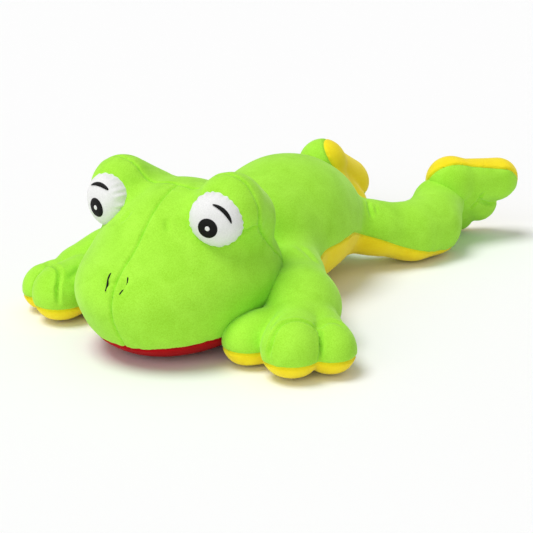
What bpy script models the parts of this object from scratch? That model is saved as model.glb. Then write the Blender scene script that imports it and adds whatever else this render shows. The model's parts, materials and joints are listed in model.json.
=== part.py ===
"""Plush frog lying on its belly, built panel by panel as it is sewn.

Metres, +Z up. The floor is Z = 0, the frog looks along -Y and its left side is +X.
Every stuffed member is an upper green panel and a yellow under panel that meet in a seam,
with a filling between them. Head, arms, hind legs and hind feet turn at their own seams.
"""

import math

import bmesh
import bpy
from mathutils import Matrix, Vector

MM = 0.001
LEFT = 1
RIGHT = -1
SIDE_NAMES = {LEFT: "left", RIGHT: "right"}

# Clearances and mesh fineness
SEAM_GAP = 0.3 * MM
JOINT_GAP = 0.7 * MM
FILLING_GAP = 0.8 * MM
REST_GAP = 2.5 * MM
MOUTH_GAP = 2.6 * MM
FLOOR_SINK = 2.5 * MM
CUTTER_REACH = 700 * MM
VOXEL = 5 * MM
BEAD_STEP_SHARE = 0.22
SMOOTH_ROUNDS = 12
SMOOTH_SHARE = 0.5
BEAD_SEGMENTS = 16
BALL_SEGMENTS = 20
PUPIL_SIDES = 18
GLINT_SIDES = 8
LASH_STEPS = 8
TORSO_FACES = 560
HEAD_FACES = 860
CHEEK_FACES = 240
ARM_FACES = 500
LEG_FACES = 320
FOOT_FACES = 340
FILLING_FACES = 110
MOUTH_FACES = 150

# Torso
TORSO_WIDTH = 131 * MM
TORSO_LENGTH = 208 * MM
TORSO_HEIGHT = 129 * MM
TORSO_Y = -34 * MM
TORSO_SEAM_HEIGHT = 44 * MM
FILLING_WALL = 9 * MM

# Neck, on the middle plane
NECK_Y = -116 * MM
NECK_Z = 62 * MM
NECK_RADIUS = 40 * MM
NOD_UP = 12

# Head
HEAD_WIDTH = 164 * MM
HEAD_LENGTH = 190 * MM
HEAD_HEIGHT = 142 * MM
HEAD_Y = -212 * MM
LIP_HEIGHT = 18 * MM
BROW_SEAM_Y = -214 * MM
BROW_SEAM_Z = 140 * MM
BROW_SEAM_TILT = 38
THROAT_Y = -190 * MM

# Brow bumps and eyes
BROW_SPREAD = 56 * MM
BROW_Y = -212 * MM
BROW_Z = 126 * MM
BROW_RADIUS = 29 * MM
EYE_SPREAD = 57 * MM
EYE_Y = -231 * MM
EYE_Z = 122 * MM
EYE_RADIUS = 24 * MM
EYE_DEPTH = 17 * MM
EYE_TURN = 20
PUPIL_RADIUS = 8.4 * MM
PUPIL_INSET = 4 * MM
PUPIL_DROP = 4 * MM
GLINT_RADIUS = 2.4 * MM
PATCH_THICKNESS = 0.9 * MM
LASH_RADIUS = 20 * MM
LASH_WIDTH = 3.6 * MM
LASH_END_SHARE = 0.25
LASH_ANGLES = {LEFT: (14, 79), RIGHT: (57, 120)}

# Arms
SHOULDER_X = 50 * MM
SHOULDER_Y = -95 * MM
SHOULDER_Z = 44 * MM
SHOULDER_RADIUS = 36.5 * MM
ARM_RADIUS = 36 * MM
ARM_SPREAD = 65 * MM
ARM_REACH = 105 * MM
ARM_DROP = 18 * MM
ARM_SEAM_HEIGHT = 16 * MM
RIGHT_ARM_TURN = -12
ARM_SWING = 25

# Hands
HAND_LENGTH = 36 * MM
TOE_RADIUS = 27 * MM
RIGHT_HAND_TURN = 34

# Hind legs
HIP_X = 38 * MM
HIP_Y = 42 * MM
HIP_Z = 38 * MM
HIP_RADIUS = 29.5 * MM
LEG_RADIUS = 29 * MM
LEG_SPREAD = 30 * MM
LEG_LENGTH = 120 * MM
LEG_RISE = 8 * MM
LEG_SEAM_HEIGHT = 28 * MM
LEG_SEAM_TILT = 9
RIGHT_LEG_TURN = 11
LEG_SWING_OUT = 20
LEG_SWING_IN = 8

# Hind feet, standing on their outer toe with the sole turned in and up
ANKLE_RADIUS = 27 * MM
FOOT_LENGTH = 40 * MM
FOOT_THICKNESS_SHARE = 0.86
FOOT_TOE_RADIUS = 24 * MM
FOOT_SEAM_OFFSET = 2 * MM
SOLE_NORMAL = Vector((-0.6, 0.6, 0.5)).normalized()
RIGHT_FOOT_TURN = -37
RIGHT_FOOT_SPIN = -33
FOOT_SWING = 15

# Stations along each member: place as shares of its sizes, then radius as a share
ARM_STATION_SHARES = ((0, 0, 0, 1), (0.23, 0.26, 0.17, 0.94), (0.72, 0.68, 0.5, 0.92), (1, 1, 1, 0.78))
LEG_STATION_SHARES = (
    (0, 0, 0, 1.05),
    (0.2, 0.17, 0.4, 0.95),
    (0.9, 0.46, -0.9, 1.07),
    (1.02, 0.72, -0.5, 1.14),
    (0.83, 1, 1, 0.98),
)
HAND_TOE_SHARES = {
    "inner": ((-0.38, 0.11, 0, 0.88), (-0.88, -0.78, -0.14, 0.82)),
    "middle": ((0.05, -0.15, 0.03, 0.95), (0.4, -0.94, -0.02, 0.96)),
    "outer": ((0.42, 0.17, -0.03, 0.88), (1.04, -0.3, -0.11, 0.84)),
}
FOOT_TOE_SHARES = {
    "heel": ((0.15, 0.3, 0.5, 1.04), (0.2, 0.4, 0.5, 1)),
    "upper": ((0.3, 0.45, 0.5, 1), (0.92, 1.32, 0.5, 0.92)),
    "middle": ((0.3, 0.55, 0.22, 1), (0.46, 1.34, -0.25, 0.88)),
    "lower": ((0.1, 0.45, 0.1, 1), (-0.05, 1.05, -0.62, 0.84)),
}
FOOT_MIDDLE_SHARES = (0.35, 0.8, 0.15)
FOOT_SPINS = {LEFT: 0, RIGHT: RIGHT_FOOT_SPIN}
HAND_TURNS = {LEFT: 0, RIGHT: RIGHT_HAND_TURN}
TORSO_LUMP_SHARES = (
    ((0, -0.05, 0.51), (0.5, 0.435, 0.51)),
    ((0, 0.21, 0.36), (0.43, 0.26, 0.39)),
    ((0, -0.3, 0.48), (0.46, 0.23, 0.43)),
)
HEAD_LUMP_SHARES = (
    ((0, -0.02, 0.39), (0.475, 0.48, 0.37)),
    ((0, -0.08, 0.215), (0.4, 0.37, 0.235)),
    ((0, 0.1, 0.45), (0.5, 0.38, 0.38)),
    ((0, 0.05, 0.65), (0.37, 0.32, 0.345)),
)
BROW_STATION_SHARES = ((0, 0, 0, 1), (-0.2, 0.75, -0.55, 1))

# Colours and roughness of the cloths
GREEN = (0.33, 0.76, 0.03)
YELLOW = (0.95, 0.72, 0.02)
RED = (0.5, 0.0, 0.01)
WHITE = (0.86, 0.86, 0.87)
BLACK = (0.008, 0.008, 0.007)
FIBRE = (0.82, 0.82, 0.8)
VELOUR_ROUGHNESS = 0.85
THREAD_ROUGHNESS = 0.6
FIBRE_ROUGHNESS = 1


def clear_scene():
    for obj in list(bpy.data.objects):
        bpy.data.objects.remove(obj, do_unlink=True)


def material(name, colour, roughness):
    found = bpy.data.materials.get(name)
    if found:
        return found
    made = bpy.data.materials.new(name)
    made.use_nodes = True
    shader = made.node_tree.nodes["Principled BSDF"]
    shader.inputs["Base Color"].default_value = (*colour, 1)
    shader.inputs["Roughness"].default_value = roughness
    shader.inputs["Metallic"].default_value = 0
    return made


def add_object(name, mesh, shown=True):
    obj = bpy.data.objects.new(name, mesh)
    bpy.context.scene.collection.objects.link(obj)
    if not shown:
        obj.hide_render = True
        obj.display_type = "WIRE"
    return obj


def boolean(obj, cutter, operation="DIFFERENCE", solver="EXACT"):
    step = obj.modifiers.new(f"{operation.lower()} {cutter.name}", "BOOLEAN")
    step.operation = operation
    step.object = cutter
    step.solver = solver


def settled_mesh(obj):
    """The object's evaluated mesh as a plain mesh of its own."""
    graph = bpy.context.evaluated_depsgraph_get()
    graph.update()
    mesh = bpy.data.meshes.new_from_object(obj.evaluated_get(graph))
    mesh.transform(obj.matrix_world)
    return mesh


def discard(*objects):
    for obj in objects:
        bpy.data.objects.remove(obj, do_unlink=True)


def mirrored(point, side):
    return Vector((point[0] * side, point[1], point[2]))


def swung(point, pivot, degrees):
    turn = Matrix.Rotation(math.radians(degrees), 3, "Z")
    return Vector(pivot) + turn @ (Vector(point) - Vector(pivot))


def stations(base, size, radius, shares):
    """Centres and radii along a member, from its sizes and its table of shares."""
    return [
        (Vector(base) + Vector((size[0] * x, size[1] * y, size[2] * z)), radius * r)
        for x, y, z, r in shares
    ]


def beads_along(line):
    """Balls at close steps between the stations of a line, each a centre and a radius."""
    beads = []
    for (start, start_radius), (end, end_radius) in zip(line[:-1], line[1:]):
        length = (end - start).length
        steps = max(1, math.ceil(length / (BEAD_STEP_SHARE * min(start_radius, end_radius))))
        for i in range(steps + 1):
            share = i / steps
            beads.append((start.lerp(end, share), start_radius + (end_radius - start_radius) * share))
    return beads


def ball(bm, centre, radii, squeeze=None, segments=BEAD_SEGMENTS):
    """An ellipsoid with its poles on Z; squeeze is a direction and a share to flatten along it."""
    place = Matrix.Translation(centre)
    if squeeze:
        direction, share = squeeze
        place = place @ Matrix.Scale(share, 4, direction)
    place = place @ Matrix.Diagonal((*radii, 1))
    bmesh.ops.create_uvsphere(bm, u_segments=segments, v_segments=segments // 2, radius=1, matrix=place)


def moulded(name, balls, triangles, squeeze=None):
    """One smooth stuffed form over many overlapping balls, as a hidden guide object."""
    bm = bmesh.new()
    for centre, radii in balls:
        ball(bm, centre, radii, squeeze)
    mesh = bpy.data.meshes.new(name)
    bm.to_mesh(mesh)
    bm.free()
    raw = add_object(name + " raw", mesh, shown=False)
    remesh = raw.modifiers.new("skin over", "REMESH")
    remesh.mode = "VOXEL"
    remesh.voxel_size = VOXEL
    smooth = raw.modifiers.new("stuff out", "SMOOTH")
    smooth.factor = SMOOTH_SHARE
    smooth.iterations = SMOOTH_ROUNDS
    fine = settled_mesh(raw)
    discard(raw)
    form = add_object(name, fine, shown=False)
    fewer = form.modifiers.new("fewer faces", "DECIMATE")
    fewer.ratio = min(1, triangles / (2 * len(fine.polygons)))
    coarse = settled_mesh(form)
    discard(form)
    return add_object(name, coarse, shown=False)


def round_radii(radius):
    return (radius, radius, radius)


def joined(name, first, *others):
    """A hidden guide: first united with others."""
    working = add_object(name, first.data.copy(), shown=False)
    for other in others:
        boolean(working, other, "UNION")
    mesh = settled_mesh(working)
    discard(working)
    return add_object(name, mesh, shown=False)


def joint_ball(name, centre, radius):
    bm = bmesh.new()
    ball(bm, centre, round_radii(radius), segments=BALL_SEGMENTS)
    mesh = bpy.data.meshes.new(name)
    bm.to_mesh(mesh)
    bm.free()
    return add_object(name, mesh, shown=False)


def clearance(name, source, gap):
    """A hidden guide: the source swollen by a gap, to cut its neighbour with."""
    guide = add_object(name, source.data.copy(), shown=False)
    swell = guide.modifiers.new("swell", "DISPLACE")
    swell.strength = gap
    swell.mid_level = 0
    swell.direction = "NORMAL"
    mesh = settled_mesh(guide)
    discard(guide)
    return add_object(name, mesh, shown=False)


def turned(name, source, pivot, axis, degrees):
    """A hidden guide: the source turned about an axis through pivot."""
    place = Matrix.Translation(pivot) @ Matrix.Rotation(math.radians(degrees), 4, axis)
    mesh = source.data.copy()
    mesh.transform(place @ Matrix.Translation(-Vector(pivot)))
    return add_object(name, mesh, shown=False)


def half_space(name, point, normal, gap=SEAM_GAP):
    """A hidden guide: a block that starts half a gap beyond point and runs along normal."""
    bm = bmesh.new()
    bmesh.ops.create_cube(bm, size=CUTTER_REACH)
    normal = Vector(normal).normalized()
    centre = Vector(point) + normal * ((CUTTER_REACH + gap) / 2)
    bm.transform(Matrix.Translation(centre) @ normal.to_track_quat("Z", "Y").to_matrix().to_4x4())
    mesh = bpy.data.meshes.new(name)
    bm.to_mesh(mesh)
    bm.free()
    return add_object(name, mesh, shown=False)


def panel(name, form, kept, cut, finish):
    """A shown piece: the form kept inside some guides and cut by others.

    The exact solver leaves open slivers where several curved guides cross, so these cuts use the manifold one.
    """
    mesh = form.data.copy()
    mesh.name = name
    mesh.materials.clear()
    mesh.materials.append(finish)
    mesh.shade_smooth()
    obj = add_object(name, mesh)
    for guide in kept:
        boolean(obj, guide, "INTERSECT", "MANIFOLD")
    for guide in cut:
        boolean(obj, guide, "DIFFERENCE", "MANIFOLD")
    return obj


def pivot_empty(name, place):
    empty = bpy.data.objects.new(name, None)
    empty.location = place
    bpy.context.scene.collection.objects.link(empty)
    return empty


def carry(empty, *objects):
    bpy.context.view_layer.update()
    for obj in objects:
        obj.parent = empty
        obj.matrix_parent_inverse = empty.matrix_world.inverted()


def lump_balls(lumps, centre_y, size, wall=0, sink=0):
    """Ellipsoids from a table of shares of the member's width, length and height."""
    balls = []
    for place, radii in lumps:
        centre = Vector((place[0] * size[0], centre_y + place[1] * size[1], place[2] * size[2] - sink))
        balls.append((centre, tuple(share * full - wall for share, full in zip(radii, size))))
    return balls


def line_balls(line, wall=0):
    sink = Vector((0, 0, FLOOR_SINK))
    return [(centre - sink, round_radii(radius - wall)) for centre, radius in beads_along(line)]


def facing_frame(side):
    """The eye's own axes in the world: right as seen from the front, outward, and up."""
    turn = Matrix.Rotation(math.radians(EYE_TURN) * side, 3, "Z")
    return turn @ Vector((1, 0, 0)), turn @ Vector((0, -1, 0)), Vector((0, 0, 1))


def eye_form(side):
    """The whole eye ball, flattened along the way it looks, as a hidden guide."""
    bm = bmesh.new()
    ball(bm, (0, 0, 0), (EYE_RADIUS, EYE_DEPTH, EYE_RADIUS), segments=BALL_SEGMENTS)
    turn = Matrix.Rotation(math.radians(EYE_TURN) * side, 4, "Z")
    bm.transform(Matrix.Translation(eye_centre(side)) @ turn)
    mesh = bpy.data.meshes.new("eye form")
    bm.to_mesh(mesh)
    bm.free()
    return add_object(f"eye form {SIDE_NAMES[side]}", mesh, shown=False)


def eye_centre(side):
    return Vector((EYE_SPREAD * side, EYE_Y, EYE_Z))


def outline_prism(name, side, outline):
    """A hidden guide: an outline seen from in front of the eye, run forward from its middle plane."""
    right, outward, up = facing_frame(side)
    bm = bmesh.new()
    corners = [bm.verts.new(eye_centre(side) + right * x + up * z) for x, z in outline]
    face = bm.faces.new(corners)
    grown = bmesh.ops.extrude_face_region(bm, geom=[face])
    moved = [item for item in grown["geom"] if isinstance(item, bmesh.types.BMVert)]
    bmesh.ops.translate(bm, verts=moved, vec=outward * EYE_RADIUS * 2)
    bmesh.ops.recalc_face_normals(bm, faces=bm.faces)
    mesh = bpy.data.meshes.new(name)
    bm.to_mesh(mesh)
    bm.free()
    return add_object(name, mesh, shown=False)


def circle_outline(centre, radius, count=PUPIL_SIDES):
    angles = [2 * math.pi * i / count for i in range(count)]
    return [(centre[0] + radius * math.cos(a), centre[1] + radius * math.sin(a)) for a in angles]


def crescent_outline(centre, radius, width, start, end, count=LASH_STEPS):
    """A stroke that swells to its full width halfway along an arc, with blunt ends."""
    outer = []
    inner = []
    for i in range(count + 1):
        share = i / count
        angle = math.radians(start + (end - start) * share)
        half = width / 2 * (LASH_END_SHARE + (1 - LASH_END_SHARE) * math.sin(math.pi * share))
        way = Vector((math.cos(angle), math.sin(angle)))
        outer.append(tuple(Vector(centre) + way * (radius + half)))
        inner.append(tuple(Vector(centre) + way * (radius - half)))
    return outer + inner[::-1]


def patch(name, side, form, outlines, holes, finish):
    """A thin embroidered patch that lies on the eye ball inside its outline."""
    skin = clearance(f"{name} skin", form, SEAM_GAP + PATCH_THICKNESS)
    core = clearance(f"{name} core", form, SEAM_GAP)
    kept = [outline_prism(f"{name} outline", side, outlines)]
    cut = [core] + [outline_prism(f"{name} hole", side, hole) for hole in holes]
    return panel(name, skin, kept, cut, finish)


def build_eye(side, form, pivot):
    """White ball, black pupil ring, white glint and black lash."""
    word = SIDE_NAMES[side]
    white = material("white velour", WHITE, VELOUR_ROUGHNESS)
    black = material("black embroidery", BLACK, THREAD_ROUGHNESS)
    pupil_at = (-side * PUPIL_INSET, -PUPIL_DROP)
    pieces = [panel(f"eye_{word}", form, [], [], white)]
    pieces.append(
        patch(
            f"pupil_{word}",
            side,
            form,
            circle_outline(pupil_at, PUPIL_RADIUS),
            [circle_outline(pupil_at, GLINT_RADIUS + SEAM_GAP, GLINT_SIDES)],
            black,
        )
    )
    pieces.append(
        patch(f"glint_{word}", side, form, circle_outline(pupil_at, GLINT_RADIUS, GLINT_SIDES), [], white)
    )
    start, end = LASH_ANGLES[side]
    lash = crescent_outline(pupil_at, LASH_RADIUS, LASH_WIDTH, start, end)
    pieces.append(patch(f"lash_{word}", side, form, lash, [], black))
    carry(pivot, *pieces)


def limb_line(base, size, radius, shares, side, pivot, turn):
    """A limb's stations, mirrored to its side and swung about its joint."""
    line = stations(base, size, radius, shares)
    return [(swung(mirrored(place, side), mirrored(pivot, side), turn), width) for place, width in line]


def arm_lines(side, turn):
    shoulder = (SHOULDER_X, SHOULDER_Y, SHOULDER_Z)
    size = (ARM_SPREAD, -ARM_REACH, -ARM_DROP)
    wrist = Vector(shoulder) + Vector(size)
    upper = limb_line(shoulder, size, ARM_RADIUS, ARM_STATION_SHARES, side, shoulder, turn)
    hand = (HAND_LENGTH, HAND_LENGTH, HAND_LENGTH)
    toes = [
        limb_line(wrist, hand, TOE_RADIUS, shares, side, shoulder, turn)
        for shares in HAND_TOE_SHARES.values()
    ]
    bend = upper[-2][0]
    toes = [[(swung(place, bend, HAND_TURNS[side]), width) for place, width in toe] for toe in toes]
    return upper, toes


def leg_line(side, turn):
    hip = (HIP_X, HIP_Y, HIP_Z)
    size = (LEG_SPREAD, LEG_LENGTH, LEG_RISE)
    return limb_line(hip, size, LEG_RADIUS, LEG_STATION_SHARES, side, hip, turn)


def foot_place(shares, side, ankle, turn):
    """A point of the foot, from shares of its length out from the ankle; the foot spins about its heel."""
    heel = mirrored(Vector(FOOT_TOE_SHARES["heel"][1][:3]) * FOOT_LENGTH, side)
    step = mirrored(Vector(shares) * FOOT_LENGTH, side) - heel
    spin = Matrix.Rotation(math.radians(FOOT_SPINS[side]), 3, mirrored(SOLE_NORMAL, side))
    return swung(ankle + heel + spin @ step, ankle, turn)


def foot_lines(side, ankle, turn):
    return [
        [(foot_place(share[:3], side, ankle, turn), FOOT_TOE_RADIUS * share[3]) for share in shares]
        for shares in FOOT_TOE_SHARES.values()
    ]


def sole_normal(side, turn):
    return Matrix.Rotation(math.radians(turn), 3, "Z") @ mirrored(SOLE_NORMAL, side)


def swing_guides(name, form, gap, pivot, axis, angles):
    """The form with its gap at rest, and with half of it at each angle, to clear its path in a neighbour."""
    slim = clearance(f"{name} slim", form, gap / 2)
    path = [clearance(f"{name} at rest", form, gap)]
    return path + [turned(f"{name} {angle}", slim, pivot, axis, angle) for angle in angles]


def socket_guides(name, line, pivot, radius, angles):
    """Guides for a socket: the joint's ball, and the room a limb takes as it swings to each angle."""
    balls = []
    for angle in (0, *angles):
        balls += line_balls([(swung(place, pivot, angle), width + MOUTH_GAP) for place, width in line])
    mouth = moulded(f"{name} mouth", balls, MOUTH_FACES)
    return [joint_ball(f"{name} socket", pivot, radius + JOINT_GAP), mouth]


def covered(name, form, seam, words, finishes, cut):
    """Upper and under panels on each side of a seam plane."""
    point, normal = seam
    above = half_space(f"{name} above seam", point, normal)
    below = half_space(f"{name} below seam", point, -Vector(normal))
    return [
        panel(words[0], form, [above], cut, finishes[0]),
        panel(words[1], form, [below], cut, finishes[1]),
    ]


def stuffing(name, balls, neighbours, wall):
    """The loose fibre inside a member, a wall clear of its neighbours, and a hidden guide of its hollow."""
    core = moulded(f"{name} core", balls, FILLING_FACES)
    cut = [clearance(f"{name} wall at {guide.name}", guide, wall) for guide in neighbours]
    fibre = panel(name, core, [], cut, material("fibre filling", FIBRE, FIBRE_ROUGHNESS))
    hollow = clearance(f"{name} hollow", core, FILLING_GAP)
    for guide in neighbours:
        rim = clearance(f"{name} rim at {guide.name}", guide, wall - FILLING_GAP)
        boolean(hollow, rim, "DIFFERENCE", "MANIFOLD")
    return fibre, hollow


def build():
    green = material("green velour", GREEN, VELOUR_ROUGHNESS)
    yellow = material("yellow velour", YELLOW, VELOUR_ROUGHNESS)
    red = material("red velour", RED, VELOUR_ROUGHNESS)
    floor = half_space("floor", (0, 0, 0), (0, 0, -1), gap=0)
    neck = Vector((0, NECK_Y, NECK_Z))
    shoulder = {side: Vector((SHOULDER_X * side, SHOULDER_Y, SHOULDER_Z)) for side in SIDE_NAMES}
    hip = {side: Vector((HIP_X * side, HIP_Y, HIP_Z)) for side in SIDE_NAMES}
    arm_turn = {LEFT: 0, RIGHT: RIGHT_ARM_TURN}
    leg_turn = {LEFT: 0, RIGHT: RIGHT_LEG_TURN}
    foot_turn = {LEFT: 0, RIGHT: RIGHT_LEG_TURN + RIGHT_FOOT_TURN}
    leg_lines = {side: leg_line(side, leg_turn[side]) for side in SIDE_NAMES}
    ankle = {side: line[-1][0] for side, line in leg_lines.items()}

    torso_size = (TORSO_WIDTH, TORSO_LENGTH, TORSO_HEIGHT)
    torso_balls = lump_balls(TORSO_LUMP_SHARES, TORSO_Y, torso_size, sink=FLOOR_SINK)
    torso_skin = moulded("torso skin", torso_balls, TORSO_FACES)
    torso = joined("torso form", torso_skin, joint_ball("neck ball", neck, NECK_RADIUS))

    head_size = (HEAD_WIDTH, HEAD_LENGTH, HEAD_HEIGHT)
    head_balls = lump_balls(HEAD_LUMP_SHARES, HEAD_Y, head_size)
    cheeks = moulded("cheeks", head_balls, CHEEK_FACES)
    for side in SIDE_NAMES:
        brow = stations((0, 0, 0), round_radii(BROW_RADIUS), BROW_RADIUS, BROW_STATION_SHARES)
        line = [(mirrored(Vector((BROW_SPREAD, BROW_Y, BROW_Z)) + step, side), radius) for step, radius in brow]
        head_balls += [(centre, round_radii(radius)) for centre, radius in beads_along(line)]
    head = moulded("head form", head_balls, HEAD_FACES)
    head_path = swing_guides("cheeks", cheeks, REST_GAP, neck, "X", [-NOD_UP])

    arms = {}
    legs = {}
    feet = {}
    arm_paths = []
    leg_paths = []
    for side, word in SIDE_NAMES.items():
        upper, toes = arm_lines(side, arm_turn[side])
        balls = line_balls(upper)
        for toe in toes:
            balls += line_balls(toe)
        skin = moulded(f"arm skin {word}", balls, ARM_FACES)
        knob = joint_ball(f"shoulder ball {word}", shoulder[side], SHOULDER_RADIUS)
        arms[side] = joined(f"arm form {word}", skin, knob)
        arm_paths += socket_guides(f"shoulder {word}", upper[:3], shoulder[side], SHOULDER_RADIUS, [])

        skin = moulded(f"leg skin {word}", line_balls(leg_lines[side]), LEG_FACES)
        knobs = [
            joint_ball(f"hip ball {word}", hip[side], HIP_RADIUS),
            joint_ball(f"ankle ball {word}", ankle[side], ANKLE_RADIUS),
        ]
        legs[side] = joined(f"leg form {word}", skin, *knobs)
        swings = [-LEG_SWING_OUT * side, LEG_SWING_IN * side]
        thigh = leg_lines[side][:3]
        leg_paths += socket_guides(f"hip {word}", thigh, hip[side], HIP_RADIUS, swings)

        normal = sole_normal(side, foot_turn[side])
        balls = []
        for toe in foot_lines(side, ankle[side], foot_turn[side]):
            balls += [(centre, round_radii(radius)) for centre, radius in beads_along(toe)]
        feet[side] = moulded(f"foot form {word}", balls, FOOT_FACES, (normal, FOOT_THICKNESS_SHARE))

    balls = lump_balls(TORSO_LUMP_SHARES[:1], TORSO_Y, torso_size, wall=FILLING_WALL)
    sockets = arm_paths + leg_paths
    fibre, hollow = stuffing("torso_filling", balls, sockets, FILLING_WALL / 2)
    seam = ((0, 0, TORSO_SEAM_HEIGHT), (0, 0, 1))
    words = ("torso_back", "torso_belly")
    covered("torso", torso, seam, words, (green, yellow), [floor, hollow] + sockets)

    neck_pivot = pivot_empty("neck pivot", neck)
    torso_path = swing_guides("torso from head", torso, JOINT_GAP, neck, "X", [NOD_UP])
    balls = lump_balls(HEAD_LUMP_SHARES[2:], HEAD_Y, head_size, wall=FILLING_WALL)
    fibre, hollow = stuffing("head_filling", balls, [torso], FILLING_WALL)
    tilt = math.radians(BROW_SEAM_TILT)
    brow_at = (0, BROW_SEAM_Y, BROW_SEAM_Z)
    forward = Vector((0, -math.cos(tilt), -math.sin(tilt)))
    lip_at = (0, 0, LIP_HEIGHT)
    over_lip = half_space("over lip", lip_at, (0, 0, 1))
    under_lip = half_space("under lip", lip_at, (0, 0, -1))
    before_brow = half_space("before brow seam", brow_at, forward)
    behind_brow = half_space("behind brow seam", brow_at, -forward)
    before_throat = half_space("before throat", (0, THROAT_Y, 0), (0, -1, 0))
    behind_throat = half_space("behind throat", (0, THROAT_Y, 0), (0, 1, 0))
    eyes = {side: eye_form(side) for side in SIDE_NAMES}
    sockets = [clearance(f"eye socket {side}", eyes[side], SEAM_GAP) for side in SIDE_NAMES]
    cut = torso_path + [floor, hollow] + sockets
    pieces = [fibre]
    for side, word in SIDE_NAMES.items():
        half = half_space(f"{word} half", (0, 0, 0), (side, 0, 0))
        pieces.append(panel(f"face_{word}", head, [over_lip, before_brow, half], cut, green))
    pieces.append(panel("head_back", head, [over_lip, behind_brow], cut, green))
    cut = torso_path + [floor, hollow]
    pieces.append(panel("mouth_lining", head, [under_lip, before_throat], cut, red))
    pieces.append(panel("throat", head, [under_lip, behind_throat], cut, green))
    carry(neck_pivot, *pieces)
    for side in SIDE_NAMES:
        build_eye(side, eyes[side], neck_pivot)

    for side, word in SIDE_NAMES.items():
        pivot = pivot_empty(f"shoulder pivot {word}", shoulder[side])
        upper, toes = arm_lines(side, arm_turn[side])
        balls = line_balls(upper, wall=FILLING_WALL)
        fibre, hollow = stuffing(f"arm_filling_{word}", balls, [cheeks], REST_GAP + FILLING_WALL)
        seam = ((0, 0, ARM_SEAM_HEIGHT), (0, 0, 1))
        words = (f"arm_{word}_upper", f"arm_{word}_under")
        cut = [floor, hollow] + head_path
        carry(pivot, fibre, *covered(f"arm {word}", arms[side], seam, words, (green, yellow), cut))

        pivot = pivot_empty(f"hip pivot {word}", hip[side])
        lean = math.radians(LEG_SEAM_TILT)
        seam = ((0, HIP_Y, LEG_SEAM_HEIGHT), (0, math.sin(lean), math.cos(lean)))
        words = (f"leg_{word}_upper", f"leg_{word}_under")
        balls = line_balls(leg_lines[side], wall=FILLING_WALL)
        fibre, hollow = stuffing(f"leg_filling_{word}", balls, [], FILLING_WALL)
        cut = [floor, hollow]
        carry(pivot, fibre, *covered(f"leg {word}", legs[side], seam, words, (green, yellow), cut))

        pivot = pivot_empty(f"ankle pivot {word}", ankle[side])
        normal = sole_normal(side, foot_turn[side])
        middle = foot_place(FOOT_MIDDLE_SHARES, side, ankle[side], foot_turn[side])
        seam = (middle + normal * FOOT_SEAM_OFFSET, -normal)
        shin = leg_lines[side][-3:]
        swings = [FOOT_SWING, -FOOT_SWING]
        path = socket_guides(f"ankle {word}", shin, ankle[side], ANKLE_RADIUS, swings)
        words = (f"foot_{word}_top", f"foot_{word}_sole")
        cut = [floor] + path
        carry(pivot, *covered(f"foot {word}", feet[side], seam, words, (green, yellow), cut))


clear_scene()
build()
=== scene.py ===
"""Looks of the plush frog: velour covers over stuffed forms, gathered eyes, seams and stitches.

Forms are distance fields in millimetres, in the frame of the CAD: floor at Z = 0, the frog looks along -Y
and its left side is +X. Each field is skinned with quads, cut along its seams into panels, drawn in at the
seams, folds and stitches, and scaled to metres.
"""

import json
import math

import bmesh
import bpy
import numpy as np
from mathutils import Matrix, Vector
from mathutils.kdtree import KDTree


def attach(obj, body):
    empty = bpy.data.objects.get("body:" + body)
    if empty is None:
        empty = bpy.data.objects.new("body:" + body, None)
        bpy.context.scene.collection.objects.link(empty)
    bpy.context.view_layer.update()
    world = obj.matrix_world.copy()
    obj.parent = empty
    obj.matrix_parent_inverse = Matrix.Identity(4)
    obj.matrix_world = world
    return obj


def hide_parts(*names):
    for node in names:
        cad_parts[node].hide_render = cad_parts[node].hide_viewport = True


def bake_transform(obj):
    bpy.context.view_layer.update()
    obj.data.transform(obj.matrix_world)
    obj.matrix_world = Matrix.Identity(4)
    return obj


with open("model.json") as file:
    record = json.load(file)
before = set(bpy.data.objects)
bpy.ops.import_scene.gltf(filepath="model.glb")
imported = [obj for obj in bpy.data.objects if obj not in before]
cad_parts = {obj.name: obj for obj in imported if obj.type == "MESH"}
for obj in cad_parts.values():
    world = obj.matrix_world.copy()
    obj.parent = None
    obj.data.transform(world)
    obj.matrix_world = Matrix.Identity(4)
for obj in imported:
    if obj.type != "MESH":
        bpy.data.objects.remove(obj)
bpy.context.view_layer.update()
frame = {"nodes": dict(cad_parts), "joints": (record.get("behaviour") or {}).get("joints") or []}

MM = 0.001
LEFT = 1
RIGHT = -1
SIDE_NAMES = {LEFT: "left", RIGHT: "right"}

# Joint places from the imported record, in millimetres
JOINTS = {joint["name"]: np.array(joint["pos_m"]) / MM for joint in frame["joints"]}

# Fineness of the meshes, and how points settle on a surface
BODY_STEP = 1.9
HEAD_STEP = 1.8
FOOT_STEP = 1.8
COARSE_CELLS = 4
NEAR_CELLS = 1.25
SLOPE_REACH = 0.4
SETTLE_ROUNDS = 3
RELAX_ROUNDS = 3
SNAP_SHARE = 0.3
LEAST_STEEP = 0.05
LEAST_SEAM_STEEP = 0.02
FOLD_STATIONS = 24
SEAM_STATIONS = 80

# Degrees by which the right limbs are turned from the left ones' mirror image
RIGHT_ARM_TURN = -12
RIGHT_HAND_TURN = 34
RIGHT_LEG_TURN = 11
RIGHT_FOOT_TURN = -37
RIGHT_FOOT_SPIN = -33

# Forms of the torso: centre and half sizes
TORSO_LUMPS = (
    ((0, -44, 64), (64, 90, 64.5)),
    ((0, 12, 54), (46, 52, 46)),
    ((0, -100, 60), (62, 46, 52)),
)
TORSO_BLENDS = (20, 20)
FLOOR_ROUND = 7
ARM_TO_TORSO_BLEND = 14
LEG_TO_TORSO_BLEND = 10

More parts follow.
